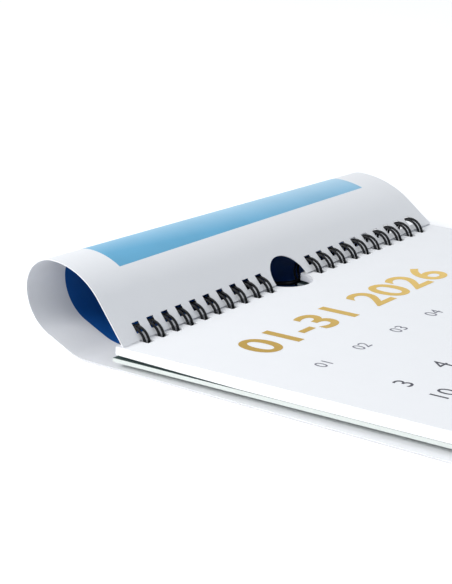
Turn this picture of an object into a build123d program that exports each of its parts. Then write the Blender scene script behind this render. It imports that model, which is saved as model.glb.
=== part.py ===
from build123d import *
import os
from math import asin, atan2, cos, degrees, radians, sin

# A wire-bound A4 wall calendar lying on a table. +X runs along the binding wire, +Y points past the top
# of the page, +Z is up. While a piece is built, X is measured from the middle of the page, Y from the axis of
# the binding loops and Z from the table; the last step puts the origin under the middle of the whole object.

# Sheets
page_width = 210.0
page_height = 297.0

# Punching, the same in every sheet
pitch = 25.4 / 3
hole_places = 23  # places across the sheet, the middle three of which the thumb notch takes
notch_places = 3
hole_width = 4.0
hole_length = 4.4
hole_ledge = 2.6  # paper left between the hole and the bound edge
notch_radius = 10.5
notch_inset = 0.6  # from the bound edge to the centre of the notch

# Binding wire
loop_diameter = 11.7  # to the middle of the wire
loop_wire = 1.0
loop_gap = 2.4  # between the two wires of one loop, middle to middle
loop_bend = 1.2
loop_height = 6.95  # loop axis above the table
mouth_angle = -52.0  # where the loops close, seen from +X, counted from +Y towards +Z
mouth_gap = 0.9  # from the closed tip of a loop to the line of the short straights
comb_stub = 1.0

# Block of leaves and back card
block_top = 8.5  # top leaf above the table at the loops
leaves_depth = 4.45
leaves_depth_bound = 3.3  # where the loops gather the leaves
gather_length = 60.0  # how far the gap under the gathered leaves runs
leaves_bound_edge = -0.9
card_depth = 1.5
card_bound_edge = 0.6
card_clearance = 0.1

# Cover sheet, turned over the wire and curled back under the block
cover_depth = 0.3
cover_edge_height = 8.95
underside_slope = 25.0  # how the sheet comes down to the table behind the loops
cover_punch = 4.0

# Hanger
hanger_wire = 1.8
hanger_length = 130.0
hanger_axis_y = 2.7
hanger_axis_height = 3.9
hook_base = 17.0
hook_width = 10.0
hook_reach = 15.0
hook_tip_height = 2.0
hook_bend = 3.0

loop_radius = loop_diameter / 2
hole_row = [n - (hole_places - 1) / 2 for n in range(hole_places)]
hole_centres = [n * pitch for n in hole_row if abs(n) > notch_places / 2]
half_width = page_width / 2


class Curl:
    """Side section of the turned cover at one end of the wire, from its bound edge to where it lies flat.

    The sheet leaves the holes straight, bends over in ever closer turns and comes back down to the table.
    """

    def __init__(self, x, start, lean, rise, crown, back, tuck, tail):
        drop = radians(underside_slope)
        height = cover_edge_height + rise * sin(radians(lean)) + crown * (1 - cos(radians(lean))) - back
        height -= tuck * cos(drop) + tail * (1 - cos(drop)) + cover_depth / 2
        slant = height / sin(drop)
        self.x = x
        self.start = Vector(x, start, cover_edge_height)
        self.lean = lean
        self.moves = [
            (rise, 0.0),
            (crown, lean),
            (back, 90.0),
            (tuck, 90.0 - underside_slope),
            (slant, 0.0),
            (tail, underside_slope),
        ]
        self.length = sum(size * radians(turn) if turn else size for size, turn in self.moves)
        self.rise_end = self.edges(0)[0] @ 1
        self.landing = self.edges(0)[-1] @ 1

    def beside(self, y, z, heading, offset):
        """A point offset to the left of the heading."""
        return Vector(self.x, y - offset * sin(radians(heading)), z + offset * cos(radians(heading)))

    def edges(self, offset):
        """Lines and right-hand arcs of the section, all moved to the left of the sheet by offset."""
        y, z = self.start.Y, self.start.Z
        heading = self.lean
        made = []
        for size, turn in self.moves:
            before = self.beside(y, z, heading, offset)
            if turn == 0:
                y, z = y + size * cos(radians(heading)), z + size * sin(radians(heading))
                made.append(Edge.make_line(before, self.beside(y, z, heading, offset)))
                continue
            centre_y = y + size * sin(radians(heading))
            centre_z = z - size * cos(radians(heading))
            points = [before]
            for now in (heading - turn / 2, heading - turn):
                y = centre_y - size * sin(radians(now))
                z = centre_z + size * cos(radians(now))
                points.append(self.beside(y, z, now, offset))
            made.append(Edge.make_three_point_arc(*points))
            heading -= turn
        return made

    def outline(self):
        """Closed outline of the sheet's thickness."""
        upper = self.edges(cover_depth / 2)
        lower = self.edges(-cover_depth / 2)
        near = Edge.make_line(lower[0] @ 0, upper[0] @ 0)
        far = Edge.make_line(upper[-1] @ 1, lower[-1] @ 1)
        return Wire(upper + [far] + lower + [near])


curl_left = Curl(-half_width, start=-4.2, lean=54.0, rise=18.8, crown=27.5, back=12.5, tuck=18.0, tail=20.0)
curl_right = Curl(half_width, start=-3.4, lean=38.0, rise=13.5, crown=42.0, back=11.0, tuck=12.5, tail=20.0)


def punch_tools(place, reach):
    """Cutters for the holes and the thumb notch; place(x, distance from the bound edge) gives their planes."""
    middle = hole_ledge + hole_length / 2
    tools = [place(x, middle) * Box(hole_width, hole_length, reach) for x in hole_centres]
    tools.append(place(0.0, notch_inset) * Cylinder(notch_radius, reach))
    return tools


def flat_place(edge, height):
    """Planes for punching a flat sheet whose bound edge is at y = edge."""
    return lambda x, distance: Plane(origin=(x, edge - distance, height), x_dir=(1, 0, 0), z_dir=(0, 0, 1))


def cover_place(x, distance):
    """Planes for punching the turned cover near its bound edge."""
    share = (x + half_width) / page_width
    start = curl_left.start + (curl_right.start - curl_left.start) * share
    onward = curl_left.rise_end + (curl_right.rise_end - curl_left.rise_end) * share - start
    onward = Vector(0, onward.Y, onward.Z).normalized()
    return Plane(origin=start + onward * distance, x_dir=(1, 0, 0), z_dir=(0, -onward.Z, onward.Y))


def side_slab(points):
    """Solid of the page's width from a side outline of (y, z) points."""
    outline = Polyline(*[(-half_width, y, z) for y, z in points], close=True)
    return extrude(make_face(outline), amount=page_width, dir=(1, 0, 0))


def month_leaves():
    edge = leaves_bound_edge
    foot = edge - page_height
    base = block_top - leaves_depth
    slab = side_slab([
        (edge, block_top),
        (foot, block_top),
        (foot, base),
        (edge - gather_length, base),
        (edge, block_top - leaves_depth_bound),
    ])
    slab -= punch_tools(flat_place(edge, block_top), 4 * leaves_depth)
    return slab


def back_card():
    edge = card_bound_edge
    foot = edge - page_height
    top = block_top - leaves_depth - card_clearance
    slab = side_slab([(edge, top), (foot, top), (foot, top - card_depth), (edge, top - card_depth)])
    return slab - punch_tools(flat_place(edge, top), 4 * card_depth)


def cover_sheet():
    """The curl, then the flat rest of the sheet under the block, turned by what the fuller end has used up."""
    curl = Solid.make_loft([curl_left.outline(), curl_right.outline()], ruled=True)
    landing = curl_right.landing - curl_left.landing
    turn = asin((curl_left.length - curl_right.length - landing.Y) / page_width)
    onward = Vector(-sin(turn), -cos(turn), 0)
    corners = [
        curl_left.landing,
        curl_right.landing,
        curl_right.landing + onward * (page_height - curl_right.length),
        curl_left.landing + onward * (page_height - curl_left.length),
    ]
    flat = Pos(0, 0, -cover_depth / 2) * make_face(Polyline(*corners, close=True))
    return Part() + curl + extrude(flat, amount=cover_depth, dir=(0, 0, 1)) - punch_tools(cover_place, cover_punch)


def on_loop(x, angle):
    """A point of the loops' middle line."""
    return Vector(x, loop_radius * cos(radians(angle)), loop_height + loop_radius * sin(radians(angle)))


def along_loop(angle):
    """Direction in which the angle grows."""
    return Vector(0, -sin(radians(angle)), cos(radians(angle)))


def comb_path(centres):
    """Middle line of one comb: a single wire that makes a twin loop at each centre."""
    half_gap = loop_gap / 2
    per_mm = degrees(1 / loop_radius)
    foot_angle = mouth_angle - loop_bend * per_mm
    tip_angle = mouth_angle - 360 + (mouth_gap + half_gap) * per_mm
    out = along_loop(foot_angle)
    back = along_loop(tip_angle) * -1
    slant = cos(radians(45))
    edges = []
    for number, x in enumerate(centres):
        sides = (x - half_gap, x + half_gap)
        bends = (sides[0] - loop_bend, sides[1] + loop_bend)
        corners = [on_loop(bend, foot_angle) + out * loop_bend for bend in bends]
        middles = [
            on_loop(bend + hand * loop_bend * slant, foot_angle) + out * (loop_bend * slant)
            for bend, hand in zip(bends, (1, -1))
        ]
        if number == 0:
            edges.append(Edge.make_line(corners[0] - Vector(comb_stub, 0, 0), corners[0]))
        else:
            edges.append(Edge.make_line(last_corner, corners[0]))
        far_angle = (foot_angle + tip_angle) / 2
        edges.append(Edge.make_three_point_arc(corners[0], middles[0], on_loop(sides[0], foot_angle)))
        edges.append(Edge.make_three_point_arc(
            on_loop(sides[0], foot_angle), on_loop(sides[0], far_angle), on_loop(sides[0], tip_angle)))
        edges.append(Edge.make_three_point_arc(
            on_loop(sides[0], tip_angle), on_loop(x, tip_angle) + back * half_gap, on_loop(sides[1], tip_angle)))
        edges.append(Edge.make_three_point_arc(
            on_loop(sides[1], tip_angle), on_loop(sides[1], far_angle), on_loop(sides[1], foot_angle)))
        edges.append(Edge.make_three_point_arc(on_loop(sides[1], foot_angle), middles[1], corners[1]))
        last_corner = corners[1]
    edges.append(Edge.make_line(last_corner, last_corner + Vector(comb_stub, 0, 0)))
    return Wire(edges)


def wire_comb(centres):
    path = comb_path(centres)
    section = Plane(origin=path @ 0, z_dir=path % 0) * Circle(loop_wire / 2)
    return sweep(section, path=path)


def hanger():
    """Straight legs through the loops with a flat-topped hook bent out of the middle."""
    corners = [
        (-hanger_length / 2, 0),
        (-hook_base / 2, 0),
        (-hook_width / 2, hook_reach),
        (hook_width / 2, hook_reach),
        (hook_base / 2, 0),
        (hanger_length / 2, 0),
    ]
    drop = atan2(hanger_axis_height - hook_tip_height, hook_reach)
    plane = Plane(
        origin=(0, hanger_axis_y, hanger_axis_height), x_dir=(1, 0, 0), z_dir=(0, sin(drop), cos(drop)))
    path = plane * FilletPolyline(*corners, radius=hook_bend)
    section = Plane(origin=path @ 0, z_dir=path % 0) * Circle(hanger_wire / 2)
    return sweep(section, path=path)


# The block is held up by the loops at its bound edge and lies on the table at its foot, so it slopes a little.
card_underside = block_top - leaves_depth - card_clearance - card_depth
card_foot_reach = page_height - card_bound_edge
slope = degrees(atan2(card_underside, card_foot_reach))
settle = Pos(0, 0, loop_height) * Rot(X=slope) * Pos(0, 0, -loop_height)

pieces = {
    "month_leaves": settle * month_leaves(),
    "back_card": settle * back_card(),
    "cover_sheet": cover_sheet(),
    "wire_comb_left": wire_comb([x for x in hole_centres if x < 0]),
    "wire_comb_right": wire_comb([x for x in hole_centres if x > 0]),
    "hanger": hanger(),
}

middle = Compound(children=[Compound(piece.solids()) for piece in pieces.values()]).bounding_box().center()

os.makedirs("parts", exist_ok=True)
for name, piece in pieces.items():
    export_step(Pos(-middle.X, -middle.Y, 0) * piece, f"parts/{name}.step")
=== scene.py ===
import random
from math import asin, cos, hypot, pi, radians, sin, sqrt
import bpy
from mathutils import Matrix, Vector
from mathutils.geometry import delaunay_2d_cdt


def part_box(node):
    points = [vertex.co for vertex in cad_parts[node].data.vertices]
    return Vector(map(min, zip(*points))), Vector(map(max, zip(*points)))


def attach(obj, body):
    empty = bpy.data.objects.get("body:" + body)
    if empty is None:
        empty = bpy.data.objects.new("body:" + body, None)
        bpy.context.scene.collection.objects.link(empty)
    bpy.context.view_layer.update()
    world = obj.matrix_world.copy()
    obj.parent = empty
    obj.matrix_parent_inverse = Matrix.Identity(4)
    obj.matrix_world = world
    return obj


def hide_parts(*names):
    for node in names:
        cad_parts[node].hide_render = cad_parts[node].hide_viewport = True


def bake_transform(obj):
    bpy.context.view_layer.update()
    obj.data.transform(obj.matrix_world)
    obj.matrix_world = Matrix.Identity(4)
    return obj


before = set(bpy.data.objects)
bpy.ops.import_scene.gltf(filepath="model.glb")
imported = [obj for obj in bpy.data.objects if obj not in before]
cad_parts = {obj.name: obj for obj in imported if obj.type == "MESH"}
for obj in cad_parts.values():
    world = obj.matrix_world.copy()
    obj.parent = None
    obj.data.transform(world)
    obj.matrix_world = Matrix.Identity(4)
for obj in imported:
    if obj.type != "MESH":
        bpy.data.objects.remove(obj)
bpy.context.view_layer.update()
random.seed(12)

# Every length below is in millimetres. X runs along the binding wire from the middle of the page, Y is
# measured from the axis of the loops and Z from the table. place() turns such a point into the frame's
# metres.
MM = 0.001
LEAVES_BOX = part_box("month_leaves")
COMB_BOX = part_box("wire_comb_left")
PAGE_MIDDLE_X = (LEAVES_BOX[0].x + LEAVES_BOX[1].x) / 2
WIRE_Y = (COMB_BOX[0].y + COMB_BOX[1].y) / 2

PAGE_WIDTH = 210.0
PAGE_HEIGHT = 297.0
PITCH = 25.4 / 3
HOLE_NUMBERS = [n for n in range(-11, 12) if abs(n) > 1]
HOLE_WIDTH = 4.0
HOLE_LENGTH = 4.4
HOLE_LEDGE = 2.6
NOTCH_RADIUS = 10.5
NOTCH_INSET = 0.6
NOTCH_STEPS = 48

BLOCK_TOP = 8.5
CARD_TOP = 3.95
CARD_THICKNESS = 1.5
CARD_EDGE_Y = 0.6
DROOP_START_Y = -130.0
DROOP_AT_FOOT = CARD_TOP - CARD_THICKNESS
LEAVES_EDGE_Y = -0.9
LEAF_COUNT = 12
LEAF_GAP = 0.02
LEAF_STRAY = 0.12
STACK_AT_WIRE = 3.1
STACK_FULL = 4.45
GATHER_LENGTH = 60.0

COVER_THICKNESS = 0.3
COVER_EDGE_HEIGHT = 8.95
UNDERSIDE_SLOPE = 25.0
STRIP_LENGTH = 12.0
GIVES_WAY_FROM = 9.5  # distances from the bound edge of two points on the strip
GIVES_WAY_TO = 1.5
CURL_REACH = 125.0  # the curved part of the cover ends before this distance from its bound edge

# Grids of points
COVER_COLUMNS = 70
CURL_ROW_STEP = 1.0
FLAP_ROW_STEP = 12.0
BLOCK_COLUMNS = 14
GATHERED_ROW_STEP = 6.0
BLOCK_ROW_STEP = 15.0
SHARP_EDGE = radians(50)

# Print, in the page's own measures
FIELD_LEFT = -83.5
FIELD_RIGHT = 86.5
FIELD_START = 28.9
FIELD_END = 268.0
FADE_END = 52.0
FADE_ACROSS = 0.1  # steps along the fade for each step to the right
TITLE_LEFT = -79.5
TITLE_RIGHT = 46.0
TITLE_TOP_Y = -33.0
TITLE_HEIGHT = 17.4
TITLE_WEIGHT = 0.018
COLUMN_LEFT_X = -76.0
COLUMN_PITCH = 24.5
WEEKDAY_TOP_Y = -68.4
WEEKDAY_HEIGHT = 5.2
DAY_TOP_Y = -84.1
DAY_PITCH_Y = 16.3
DAY_HEIGHT = 7.6
FIRST_DAY_COLUMN = 5
INK_LIFT = 0.03

CAMERA_POSITION = (-637.1, -451.7, 244.1)
CAMERA_AIM = (-20.8, 13.1, 5.6)
CAMERA_LENS = 126.4
FLOOR_SIZE = 9000.0
FLOOR_Z = -0.45
FLOOR_GLOW = 0.32  # lifts the floor to white for the camera alone
WORLD_LIGHT = 0.51
WORLD_SHOWN = 1.0


def place(x, y, z):
    return Vector((PAGE_MIDDLE_X + x * MM, WIRE_Y + y * MM, z * MM))


# --- Punched sheets: a flat outline, bent by a function and given its thickness ---

def in_opening(x, s):
    """Whether a point of the flat sheet, s from its bound edge, lies in a hole or in the thumb notch."""
    if hypot(x, s - NOTCH_INSET) < NOTCH_RADIUS - 0.01:
        return True
    if not HOLE_LEDGE < s < HOLE_LEDGE + HOLE_LENGTH:
        return False
    return any(abs(x - n * PITCH) < HOLE_WIDTH / 2 for n in HOLE_NUMBERS)


def outlines(start, end):
    """Closed outlines of the sheet between two distances from its bound edge."""
    half = PAGE_WIDTH / 2
    outer = [(-half, start)]
    if start == 0.0:
        reach = sqrt(NOTCH_RADIUS ** 2 - NOTCH_INSET ** 2)
        beyond = asin(NOTCH_INSET / NOTCH_RADIUS)
        outer.append((-reach, 0.0))
        for step in range(1, NOTCH_STEPS):
            angle = pi + beyond - step / NOTCH_STEPS * (pi + 2 * beyond)
            outer.append((NOTCH_RADIUS * cos(angle), NOTCH_INSET + NOTCH_RADIUS * sin(angle)))
        outer.append((reach, 0.0))
    outer += [(half, start), (half, end), (-half, end)]
    found = [outer]
    if start < HOLE_LEDGE:
        far = HOLE_LEDGE + HOLE_LENGTH
        for n in HOLE_NUMBERS:
            left = n * PITCH - HOLE_WIDTH / 2
            right = n * PITCH + HOLE_WIDTH / 2
            found.append([(left, HOLE_LEDGE), (right, HOLE_LEDGE), (right, far), (left, far)])
    return found


def flat_triangles(start, end, columns, rows):
    """Points (x, s) and triangles of the punched sheet between two distances, with a grid of inner points."""
    points = []
    edges = []
    half = PAGE_WIDTH / 2
    for outline in outlines(start, end):
        first = len(points)
        points += [Vector(point) for point in outline]
        edges += [(first + n, first + (n + 1) % len(outline)) for n in range(len(outline))]
    for row in rows:
        for column in range(columns + 1):
            x = -half + PAGE_WIDTH * column / columns
            if start <= row <= end and not in_opening(x, row):
                points.append(Vector((x, row)))
    found = delaunay_2d_cdt(points, edges, [], 0, 1e-4)
    flat, triangles = found[0], found[2]
    kept = []
    for triangle in triangles:
        middle = sum((flat[n] for n in triangle), Vector((0.0, 0.0))) / 3
        if not in_opening(middle.x, middle.y):
            kept.append(tuple(triangle))
    return flat, kept


def sheet(name, flat, triangles, bend, slots):
    """A bent sheet. bend(x, s) gives a middle point and the step from it to the first face."""
    vertices = []
    for side in (1, -1):
        for point in flat:
            middle, step = bend(point.x, point.y)
            vertices.append(place(*(Vector(middle) + Vector(step) * side)))
    count = len(flat)
    faces = list(triangles)
    faces += [(a + count, c + count, b + count) for a, b, c in triangles]
    used = [pair for a, b, c in triangles for pair in ((a, b), (b, c), (c, a))]
    both_ways = set(used)
    rims = [(a, b) for a, b in used if (b, a) not in both_ways]
    faces += [(b, a, a + count, b + count) for a, b in rims]
    mesh = bpy.data.meshes.new(name)
    mesh.from_pydata(vertices, [], faces)
    layer = mesh.uv_layers.new(name="sheet")
    for loop in mesh.loops:
        point = flat[loop.vertex_index % count]
        layer.data[loop.index].uv = (point.x * MM, point.y * MM)
    for material in slots:
        mesh.materials.append(material)
    for face in mesh.polygons:
        face.use_smooth = True
        face.material_index = min(face.index // len(triangles), 2)
    mesh.validate()
    mesh.set_sharp_from_angle(angle=SHARP_EDGE)
    piece = bpy.data.objects.new(name, mesh)
    bpy.context.scene.collection.objects.link(piece)
    return piece


def stepped(start, end, step):
    """Distances from start towards end, without the two ends."""
    count = int((end - start) / step)
    return [start + (end - start) * n / count for n in range(1, count)]


# --- The turned cover: a curl that is fuller at its left end ---

class Curl:
    """Side section at one end of the wire, walked from the bound edge to where the sheet lies flat."""

    def __init__(self, start, lean, rise, crown, back, tuck, tail):
        drop = radians(UNDERSIDE_SLOPE)
        height = COVER_EDGE_HEIGHT + rise * sin(radians(lean)) + crown * (1 - cos(radians(lean))) - back
        height -= tuck * cos(drop) + tail * (1 - cos(drop)) + COVER_THICKNESS / 2
        self.start = start
        self.lean = lean
        self.moves = [
            (rise, 0.0),
            (crown, lean),
            (back, 90.0),
            (tuck, 90.0 - UNDERSIDE_SLOPE),
            (height / sin(drop), 0.0),
            (tail, UNDERSIDE_SLOPE),
        ]
        self.lengths = [size * radians(turn) if turn else size for size, turn in self.moves]
        self.length = sum(self.lengths)
        self.landing = self.point(len(self.moves) - 1, 1.0)[0]

    def point(self, last, share):
        """Place (y, z) and heading in degrees, a share of the way along the last move."""
        y, z = self.start, COVER_EDGE_HEIGHT
        heading = self.lean
        for number, (size, turn) in enumerate(self.moves[:last + 1]):
            part = share if number == last else 1.0
            if turn == 0.0:
                y += part * size * cos(radians(heading))
                z += part * size * sin(radians(heading))
                continue
            centre_y = y + size * sin(radians(heading))
            centre_z = z - size * cos(radians(heading))
            heading -= part * turn
            y = centre_y - size * sin(radians(heading))
            z = centre_z + size * cos(radians(heading))
        return y, z, heading


CURL_LEFT = Curl(start=-4.2, lean=54.0, rise=18.8, crown=27.5, back=12.5, tuck=18.0, tail=20.0)
CURL_RIGHT = Curl(start=-3.4, lean=38.0, rise=13.5, crown=42.0, back=11.0, tuck=12.5, tail=20.0)
FLAP_TURN = asin((CURL_LEFT.length - CURL_RIGHT.length - CURL_RIGHT.landing + CURL_LEFT.landing) / PAGE_WIDTH)


def bend_cover(x, s):
    """The cover's middle surface: straight lines from the section at one end to the section at the other."""
    across = x / PAGE_WIDTH + 0.5
    half = COVER_THICKNESS / 2
    walked = 0.0
    for move, (left, right) in enumerate(zip(CURL_LEFT.lengths, CURL_RIGHT.lengths)):
        length = left + (right - left) * across
        if s <= walked + length:
            share = (s - walked) / length
            y_left, z_left, heading_left = CURL_LEFT.point(move, share)
            y_right, z_right, heading_right = CURL_RIGHT.point(move, share)
            heading = radians(heading_left + (heading_right - heading_left) * across)
            y = y_left + (y_right - y_left) * across
            z = z_left + (z_right - z_left) * across
            return (x, y, z), (0.0, -half * sin(heading), half * cos(heading))
        walked += length
    landing = CURL_LEFT.landing + (CURL_RIGHT.landing - CURL_LEFT.landing) * across
    beyond = s - walked
    return (x - beyond * sin(FLAP_TURN), landing - beyond * cos(FLAP_TURN), half), (0.0, 0.0, -half)


def make_cover(slots):
    """The bound strip and the rest of the sheet."""
    strip_rows = stepped(0.0, STRIP_LENGTH, CURL_ROW_STEP) + [STRIP_LENGTH]
    strip = flat_triangles(0.0, STRIP_LENGTH, COVER_COLUMNS, strip_rows)
    rest_rows = [STRIP_LENGTH] + stepped(STRIP_LENGTH, CURL_REACH, CURL_ROW_STEP)
    rest_rows += stepped(CURL_REACH, PAGE_HEIGHT, FLAP_ROW_STEP)
    rest = flat_triangles(STRIP_LENGTH, PAGE_HEIGHT, COVER_COLUMNS, rest_rows)
    strip_piece = sheet("cover_bound_strip", *strip, bend_cover, slots)
    rest_piece = sheet("cover_turned_sheet", *rest, bend_cover, slots)
    for piece in (strip_piece, rest_piece):
        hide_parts("cover_sheet")
    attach(rest_piece, "binding")
    turning = bend_cover(0.0, GIVES_WAY_FROM)[0]
    bound = bend_cover(0.0, GIVES_WAY_TO)[0]
    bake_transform(strip_piece)


# --- The block: month leaves and board ---

def settled(x, y, z):
    """A point of the level block once the block has drooped from mid-page to its foot on the table."""
    share = max(0.0, (y - DROOP_START_Y) / (CARD_EDGE_Y - PAGE_HEIGHT - DROOP_START_Y))
    return x, y, z - DROOP_AT_FOOT * share ** 2


def block_triangles():
    """The flat punched outline that the leaves and the board share."""
    rows = stepped(0.0, GATHER_LENGTH, GATHERED_ROW_STEP)
    rows += stepped(GATHER_LENGTH, PAGE_HEIGHT, BLOCK_ROW_STEP)
    return flat_triangles(0.0, PAGE_HEIGHT, BLOCK_COLUMNS, rows)


def make_leaves(slots):
    """Twelve punched leaves, gathered by the wire and fanning out slightly towards the foot."""
    flat, triangles = block_triangles()
    for number in range(LEAF_COUNT):
        shift_x = 0.0 if number == 0 else random.uniform(-LEAF_STRAY, LEAF_STRAY)
        shift_y = 0.0 if number == 0 else random.uniform(-LEAF_STRAY, LEAF_STRAY)

        def bend_leaf(x, s, number=number, shift_x=shift_x, shift_y=shift_y):
            stack = STACK_AT_WIRE + (STACK_FULL - STACK_AT_WIRE) * min(s / GATHER_LENGTH, 1.0)
            share = stack / LEAF_COUNT
            middle = settled(x + shift_x, LEAVES_EDGE_Y + shift_y - s, BLOCK_TOP - (number + 0.5) * share)
            return middle, (0.0, 0.0, (share - LEAF_GAP) / 2)

        leaf = sheet(f"leaf_{number + 1:02d}", flat, triangles, bend_leaf, slots)
        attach(leaf, "leaves")
        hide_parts("month_leaves")


def make_card(slots):
    """The grey board under the leaves, drooping with them; its top face is dark with painted shade."""
    half = CARD_THICKNESS / 2
    flat, triangles = block_triangles()

    def bend_card(x, s):
        return settled(x, CARD_EDGE_Y - s, CARD_TOP - half), (0.0, 0.0, half)

    card = sheet("grey_board", flat, triangles, bend_card, slots)
    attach(card, "binding")
    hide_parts("back_card")


# --- Print on the top leaf: plain numbers only ---

def print_numbers(name, text, middle_x, top_y, height, material, width=None, weight=0.0):
    """Numbers of a given cap height lying on the top leaf, stretched to a given width if there is one."""
    curve = bpy.data.curves.new(name, "FONT")
    curve.body = text
    curve.offset = weight
    curve.resolution_u = 6
    letters = bpy.data.objects.new(name + "_outline", curve)
    mesh = bpy.data.meshes.new_from_object(letters)
    bpy.data.objects.remove(letters)
    xs = [vertex.co.x for vertex in mesh.vertices]
    ys = [vertex.co.y for vertex in mesh.vertices]
    scale_y = height / (max(ys) - min(ys))
    scale_x = width / (max(xs) - min(xs)) if width else scale_y
    for vertex in mesh.vertices:
        x = middle_x + (vertex.co.x - (min(xs) + max(xs)) / 2) * scale_x
        y = top_y + (vertex.co.y - max(ys)) * scale_y
        vertex.co = place(*settled(x, y, BLOCK_TOP + INK_LIFT))
    mesh.materials.append(material)
    piece = bpy.data.objects.new(name, mesh)
    bpy.context.scene.collection.objects.link(piece)
    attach(piece, "leaves")


def print_page(gold, ink, pale_ink):
    middle = (TITLE_LEFT + TITLE_RIGHT) / 2
    width = TITLE_RIGHT - TITLE_LEFT
    print_numbers("print_title", "01-31 2026", middle, TITLE_TOP_Y, TITLE_HEIGHT, gold, width, TITLE_WEIGHT)
    for column in range(7):
        name = f"print_column_{column + 1}"
        x = COLUMN_LEFT_X + column * COLUMN_PITCH
        print_numbers(name, f"0{column + 1}", x, WEEKDAY_TOP_Y, WEEKDAY_HEIGHT, pale_ink)
    for day in range(1, 32):
        row, column = divmod(FIRST_DAY_COLUMN + day - 1, 7)
        x = COLUMN_LEFT_X + column * COLUMN_PITCH
        top_y = DAY_TOP_Y - row * DAY_PITCH_Y
        print_numbers(f"print_day_{day:02d}", str(day), x, top_y, DAY_HEIGHT, ink)


# --- Materials ---

PAPER_WHITE = (0.86, 0.87, 0.89)
CUT_EDGE_WHITE = (0.84, 0.85, 0.87)
BLUE_AT_WIRE = (0.12, 0.42, 0.66)
BLUE_AT_CROWN = (0.47, 0.70, 0.86)
INNER_BLUE = (0.004, 0.085, 0.34)
# Gold ink at the left end of the title, and the painted highlight it turns to at the right end
DARK_GOLD = (0.47, 0.285, 0.03)
PAINTED_HIGHLIGHT_GOLD = (0.80, 0.54, 0.13)
DAY_GREY = (0.045, 0.045, 0.06)
COLUMN_GREY = (0.16, 0.16, 0.2)
BOARD_GREY = (0.66, 0.70, 0.67)
# Painted shade: near-black top face of the board, standing in for the shadow in the gap under the leaves
PAINTED_SHADE_BOARD_TOP = (0.06, 0.09, 0.085)
WIRE_BLACK = (0.004, 0.0045, 0.006)
SKY_WHITE = (0.90, 0.945, 1.0)
WARM_WHITE = (1.0, 0.99, 0.97)
WINDOW_WHITE = (1.0, 0.99, 0.98)
COOL_WHITE = (0.97, 0.98, 1.0)


def new_material(name):
    material = bpy.data.materials.new(name)
    material.use_nodes = True
    nodes = material.node_tree.nodes
    return material, nodes, material.node_tree.links, nodes["Principled BSDF"]


def math_node(nodes, links, operation, first, second):
    node = nodes.new("ShaderNodeMath")
    node.operation = operation
    for socket, value in zip(node.inputs, (first, second)):
        if isinstance(value, (int, float)):
            socket.default_value = value
        else:
            links.new(value, socket)
    return node.outputs[0]


def mottle(nodes, links, scale, low, high):
    """Slow noise between two grey values, in the object's own measures."""
    coordinates = nodes.new("ShaderNodeTexCoord")
    noise = nodes.new("ShaderNodeTexNoise")
    noise.inputs["Scale"].default_value = scale
    noise.inputs["Detail"].default_value = 3.0
    links.new(coordinates.outputs["Object"], noise.inputs["Vector"])
    spread = nodes.new("ShaderNodeMapRange")
    spread.inputs["To Min"].default_value = low
    spread.inputs["To Max"].default_value = high
    links.new(noise.outputs["Fac"], spread.inputs["Value"])
    return spread.outputs["Result"]


def add_grain(nodes, links, shader, scale, strength, distance):
    """Fine surface relief."""
    bump = nodes.new("ShaderNodeBump")
    bump.inputs["Strength"].default_value = strength
    bump.inputs["Distance"].default_value = distance
    links.new(mottle(nodes, links, scale, 0.0, 1.0), bump.inputs["Height"])
    links.new(bump.outputs["Normal"], shader.inputs["Normal"])


def tinted(nodes, links, colour, factor):
    """A colour multiplied by a grey factor."""
    mix = nodes.new("ShaderNodeMix")
    mix.data_type = "RGBA"
    mix.blend_type = "MULTIPLY"
    mix.inputs["Factor"].default_value = 1.0
    if isinstance(colour, tuple):
        mix.inputs["A"].default_value = (*colour, 1.0)
    else:
        links.new(colour, mix.inputs["A"])
    links.new(factor, mix.inputs["B"])
    return mix.outputs["Result"]


def paper_material(name, colour, roughness, specular):
    material, nodes, links, shader = new_material(name)
    uneven = mottle(nodes, links, 90.0, 0.975, 1.0)
    links.new(tinted(nodes, links, colour, uneven), shader.inputs["Base Color"])
    shader.inputs["Roughness"].default_value = roughness
    shader.inputs["Specular IOR Level"].default_value = specular
    add_grain(nodes, links, shader, 2500.0, 0.12, 0.00005)
    return material


def field_mask(nodes, links):
    """1 inside the printed field of the cover, 0 in its margins; and how far along its
    lighter-away-from-the-bound-edge colour gradient each point lies.
    """
    uv = nodes.new("ShaderNodeUVMap")
    uv.uv_map = "sheet"
    parts = nodes.new("ShaderNodeSeparateXYZ")
    links.new(uv.outputs["UV"], parts.inputs["Vector"])
    x, s = parts.outputs["X"], parts.outputs["Y"]
    mask = math_node(nodes, links, "GREATER_THAN", x, FIELD_LEFT * MM)
    for operation, value, limit in (
        ("LESS_THAN", x, FIELD_RIGHT),
        ("GREATER_THAN", s, FIELD_START),
        ("LESS_THAN", s, FIELD_END),
    ):
        test = math_node(nodes, links, operation, value, limit * MM)
        mask = math_node(nodes, links, "MULTIPLY", mask, test)
    return mask, math_node(nodes, links, "ADD", s, math_node(nodes, links, "MULTIPLY", x, FADE_ACROSS))


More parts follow.
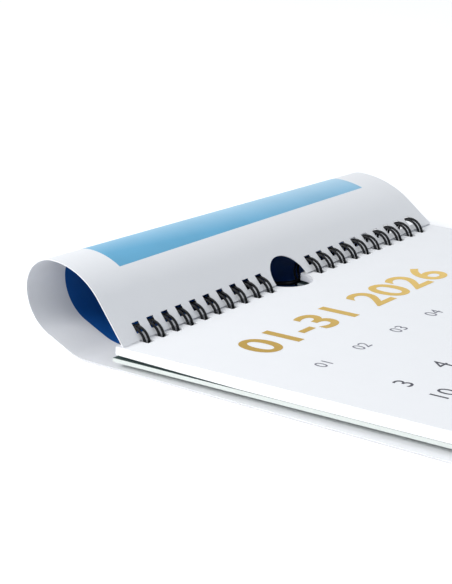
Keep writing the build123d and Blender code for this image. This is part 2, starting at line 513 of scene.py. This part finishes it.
def printed_paper_material(name, near, far):
    """Coated paper with a printed field that fades from one colour to another away from the bound edge."""
    material, nodes, links, shader = new_material(name)
    mask, distance = field_mask(nodes, links)
    fade = nodes.new("ShaderNodeMapRange")
    fade.inputs["From Min"].default_value = FIELD_START * MM
    fade.inputs["From Max"].default_value = FADE_END * MM
    links.new(distance, fade.inputs["Value"])
    ink = nodes.new("ShaderNodeMix")
    ink.data_type = "RGBA"
    ink.inputs["A"].default_value = (*near, 1.0)
    ink.inputs["B"].default_value = (*far, 1.0)
    links.new(fade.outputs["Result"], ink.inputs["Factor"])
    uneven = tinted(nodes, links, ink.outputs["Result"], mottle(nodes, links, 60.0, 0.9, 1.06))
    plain = tinted(nodes, links, PAPER_WHITE, mottle(nodes, links, 90.0, 0.98, 1.0))
    surface = nodes.new("ShaderNodeMix")
    surface.data_type = "RGBA"
    links.new(mask, surface.inputs["Factor"])
    links.new(plain, surface.inputs["A"])
    links.new(uneven, surface.inputs["B"])
    links.new(surface.outputs["Result"], shader.inputs["Base Color"])
    shader.inputs["Roughness"].default_value = 0.5
    shader.inputs["Specular IOR Level"].default_value = 0.4
    add_grain(nodes, links, shader, 2500.0, 0.1, 0.00005)
    return material


def wire_material():
    material, nodes, links, shader = new_material("black_wire_coating")
    uneven = mottle(nodes, links, 400.0, 0.7, 1.3)
    links.new(tinted(nodes, links, WIRE_BLACK, uneven), shader.inputs["Base Color"])
    shader.inputs["Roughness"].default_value = 0.4
    shader.inputs["Specular IOR Level"].default_value = 0.16
    add_grain(nodes, links, shader, 4000.0, 0.08, 0.00003)
    return material


def gold_material():
    """Gold ink with a painted highlight: its colour gets lighter towards the right end of the title, where
    the gold catches more light.
    """
    material, nodes, links, shader = new_material("gold_ink")
    coordinates = nodes.new("ShaderNodeTexCoord")
    parts = nodes.new("ShaderNodeSeparateXYZ")
    links.new(coordinates.outputs["Object"], parts.inputs["Vector"])
    across = nodes.new("ShaderNodeMapRange")
    across.inputs["From Min"].default_value = place(TITLE_LEFT, 0.0, 0.0).x
    across.inputs["From Max"].default_value = place(TITLE_RIGHT, 0.0, 0.0).x
    links.new(parts.outputs["X"], across.inputs["Value"])
    gold = nodes.new("ShaderNodeMix")
    gold.data_type = "RGBA"
    gold.inputs["A"].default_value = (*DARK_GOLD, 1.0)
    gold.inputs["B"].default_value = (*PAINTED_HIGHLIGHT_GOLD, 1.0)
    links.new(across.outputs["Result"], gold.inputs["Factor"])
    uneven = mottle(nodes, links, 500.0, 0.9, 1.08)
    links.new(tinted(nodes, links, gold.outputs["Result"], uneven), shader.inputs["Base Color"])
    shader.inputs["Metallic"].default_value = 0.1
    shader.inputs["Roughness"].default_value = 0.45
    shader.inputs["Specular IOR Level"].default_value = 0.25
    add_grain(nodes, links, shader, 3000.0, 0.1, 0.00003)
    return material


def ink_material(name, colour):
    material, nodes, links, shader = new_material(name)
    uneven = mottle(nodes, links, 800.0, 0.85, 1.1)
    links.new(tinted(nodes, links, colour, uneven), shader.inputs["Base Color"])
    shader.inputs["Roughness"].default_value = 0.6
    return material


def dress(node, material):
    """Gives a CAD node its material."""
    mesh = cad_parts[node].data
    mesh.materials.clear()
    mesh.materials.append(material)


# --- Stage ---

def shown_strength(nodes, links, lit, shown):
    """A strength that differs between what lights the scene and what the camera, metal and glass see."""
    path = nodes.new("ShaderNodeLightPath")
    seen = math_node(nodes, links, "MAXIMUM", path.outputs["Is Camera Ray"], path.outputs["Is Glossy Ray"])
    seen = math_node(nodes, links, "MAXIMUM", seen, path.outputs["Is Transmission Ray"])
    strength = nodes.new("ShaderNodeMapRange")
    strength.inputs["To Min"].default_value = lit
    strength.inputs["To Max"].default_value = shown
    links.new(seen, strength.inputs["Value"])
    return strength.outputs["Result"]


def make_world():
    world = bpy.data.worlds.new("studio")
    bpy.context.scene.world = world
    world.use_nodes = True
    nodes = world.node_tree.nodes
    links = world.node_tree.links
    background = nodes["Background"]
    background.inputs["Color"].default_value = (*SKY_WHITE, 1.0)
    links.new(shown_strength(nodes, links, WORLD_LIGHT, WORLD_SHOWN), background.inputs["Strength"])


def make_floor():
    half = FLOOR_SIZE / 2
    mesh = bpy.data.meshes.new("floor")
    corners = [place(x, y, FLOOR_Z) for x, y in ((-half, -half), (half, -half), (half, half), (-half, half))]
    mesh.from_pydata(corners, [], [(0, 1, 2, 3)])
    floor = bpy.data.objects.new("floor", mesh)
    bpy.context.scene.collection.objects.link(floor)
    material, nodes, links, shader = new_material("white_table")
    shader.inputs["Base Color"].default_value = (*PAPER_WHITE, 1.0)
    shader.inputs["Roughness"].default_value = 0.7
    path = nodes.new("ShaderNodeLightPath")
    shader.inputs["Emission Color"].default_value = (1.0, 1.0, 1.0, 1.0)
    glow = math_node(nodes, links, "MULTIPLY", path.outputs["Is Camera Ray"], FLOOR_GLOW)
    links.new(glow, shader.inputs["Emission Strength"])
    mesh.materials.append(material)


def add_area(name, position, aim, size, watts, colour):
    light = bpy.data.lights.new(name, "AREA")
    light.shape = "DISK"
    light.size = size * MM
    light.energy = watts
    light.color = colour
    lamp = bpy.data.objects.new(name, light)
    lamp.location = place(*position)
    lamp.rotation_euler = (place(*aim) - lamp.location).to_track_quat("-Z", "Y").to_euler()
    bpy.context.scene.collection.objects.link(lamp)


def make_camera():
    camera = bpy.data.cameras.new("camera")
    camera.lens = CAMERA_LENS
    camera.sensor_width = 36.0
    camera.clip_start = 0.01
    camera.clip_end = 50.0
    holder = bpy.data.objects.new("camera", camera)
    holder.location = place(*CAMERA_POSITION)
    holder.rotation_euler = (place(*CAMERA_AIM) - holder.location).to_track_quat("-Z", "Y").to_euler()
    bpy.context.scene.collection.objects.link(holder)
    bpy.context.scene.camera = holder


# --- The whole scene ---

make_camera()
make_world()
make_floor()
add_area("overhead", (100.0, 600.0, 1200.0), (0.0, -50.0, 0.0), size=1000.0, watts=3.0, colour=WARM_WHITE)
add_area("window", (-1000.0, 450.0, 800.0), (0.0, 0.0, 10.0), size=700.0, watts=12.5, colour=WINDOW_WHITE)
add_area("front_fill", (-1100.0, -450.0, 330.0), (0.0, 20.0, 10.0), size=700.0, watts=1.8, colour=COOL_WHITE)
bpy.context.scene.view_settings.view_transform = "Standard"

page_paper = paper_material("page_paper", PAPER_WHITE, roughness=0.65, specular=0.3)
cut_edge = paper_material("cut_paper_edge", CUT_EDGE_WHITE, roughness=0.8, specular=0.2)
board = paper_material("grey_card", BOARD_GREY, roughness=0.85, specular=0.2)
# Painted shade material for the board's top face, where the gap under the leaves is shadowed
painted_shade_board_top = paper_material("painted_shade_board_top", PAINTED_SHADE_BOARD_TOP, roughness=0.7, specular=0.2)
cover_outer = printed_paper_material("cover_outer_print", BLUE_AT_WIRE, BLUE_AT_CROWN)
cover_inner = printed_paper_material("cover_inner_print", INNER_BLUE, INNER_BLUE)
wire = wire_material()

make_cover([cover_outer, cover_inner, cut_edge])
make_leaves([page_paper, page_paper, cut_edge])
print_page(gold_material(), ink_material("day_ink", DAY_GREY), ink_material("pale_ink", COLUMN_GREY))
make_card([painted_shade_board_top, board, board])
for node in ("wire_comb_left", "wire_comb_right", "hanger"):
    dress(node, wire)
